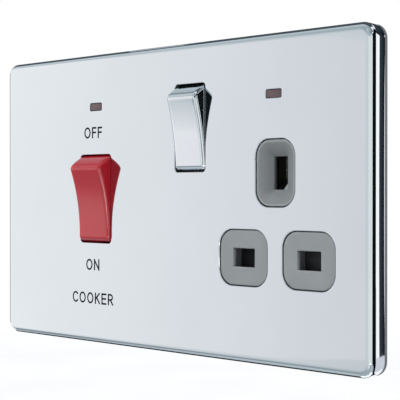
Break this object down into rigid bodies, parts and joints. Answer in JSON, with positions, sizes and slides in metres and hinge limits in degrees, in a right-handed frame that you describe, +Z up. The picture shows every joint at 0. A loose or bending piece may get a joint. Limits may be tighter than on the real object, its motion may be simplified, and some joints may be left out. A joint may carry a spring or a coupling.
{
  "type": "cooker control unit",
  "caption": "Flush wall unit: polished chrome plate with a red cooker rocker, a switched three-pin socket with grey pads, and neon windows.",
  "frame": {"origin": "midway between the two wall fixing holes, on the wall plane", "axes": "+X to the right seen from the front, +Y into the wall, +Z up"},
  "size_m": [0.146, 0.0387, 0.086],
  "materials": {
    "plate_chrome": "polished chrome plate on pressed steel",
    "rocker_chrome": "bright chrome plate on moulded plastic",
    "red_plastic": "moulded, satin gloss",
    "grey_plastic": "moulded, fine satin",
    "black_plastic": "moulded, matt",
    "base_plastic": "moulded thermoset, satin",
    "nylon": "natural moulded nylon",
    "brass": "pressed and cut",
    "copper": "pressed strip",
    "zinc_steel": "bright zinc plate",
    "spring_steel": "drawn wire",
    "smoked_lens": "clear tinted moulding",
    "lamp_glass": "blown tube",
    "resistor_body": "dipped coating"
  },
  "bodies": {
    "unit": {"base_screws": "zinc_steel", "cooker_neon_lamp": "lamp_glass", "cooker_neon_lens": "smoked_lens", "cooker_switch_housing": "black_plastic", "earth_contact": "brass", "earth_strap": "brass", "front_plate": "plate_chrome", "live_contact": "brass", "live_link": "copper", "load_earth_terminal": "brass", "load_live_terminal": "brass", "load_neutral_terminal": "brass", "mounting_frame": "grey_plastic", "neon_leads": "zinc_steel", "neon_resistors": "resistor_body", "neutral_contact": "brass", "neutral_link": "copper", "plate_earth_spring": "spring_steel", "rear_base": "base_plastic", "shutter_spring": "spring_steel", "socket_cover": "grey_plastic", "socket_neon_lamp": "lamp_glass", "socket_neon_lens": "smoked_lens", "socket_switch_housing": "black_plastic", "supply_earth_terminal": "brass", "supply_live_terminal": "brass", "supply_neutral_terminal": "brass", "terminal_screws": "zinc_steel"},
    "cooker_rocker_body": {"cooker_rocker": "red_plastic", "cooker_plungers": "nylon", "cooker_plunger_springs": "spring_steel"},
    "cooker_contact_bars": {"cooker_live_contact_bar": "copper", "cooker_neutral_contact_bar": "copper"},
    "socket_rocker_body": {"socket_rocker": "rocker_chrome", "socket_plunger": "nylon", "socket_plunger_spring": "spring_steel"},
    "socket_contact_rocker": {"socket_contact_bar": "copper"},
    "shutter_body": {"shutter": "black_plastic"}
  },
  "joints": [
    {"name": "cooker_rocker_tilt", "type": "hinge", "parent": "unit", "child": "cooker_rocker_body", "pos_m": [-0.0291, -0.001, 0], "axis": [1, 0, 0], "range_deg": [-20, 0]},
    {"name": "cooker_contact_rock", "type": "hinge", "parent": "unit", "child": "cooker_contact_bars", "pos_m": [-0.0291, 0.0117, 0], "axis": [1, 0, 0], "range_deg": [0, 16]},
    {"name": "socket_rocker_tilt", "type": "hinge", "parent": "unit", "child": "socket_rocker_body", "pos_m": [0.0109, -0.001, 0.0196], "axis": [1, 0, 0], "range_deg": [-20, 0]},
    {"name": "socket_contact_rock", "type": "hinge", "parent": "unit", "child": "socket_contact_rocker", "pos_m": [0.0109, 0.0117, 0.0196], "axis": [1, 0, 0], "range_deg": [0, 16]},
    {"name": "shutter_slide", "type": "slide", "parent": "unit", "child": "shutter_body", "axis": [0, 0, -1], "range_m": [0, 0.006], "stiffness_N_per_m": 80, "springref_m": -0.004, "deforming": ["shutter_spring"]}
  ],
  "couplings": [
    {"joint": "cooker_contact_rock", "follows": "cooker_rocker_tilt", "ratio": -0.8},
    {"joint": "socket_contact_rock", "follows": "socket_rocker_tilt", "ratio": -0.8}
  ]
}
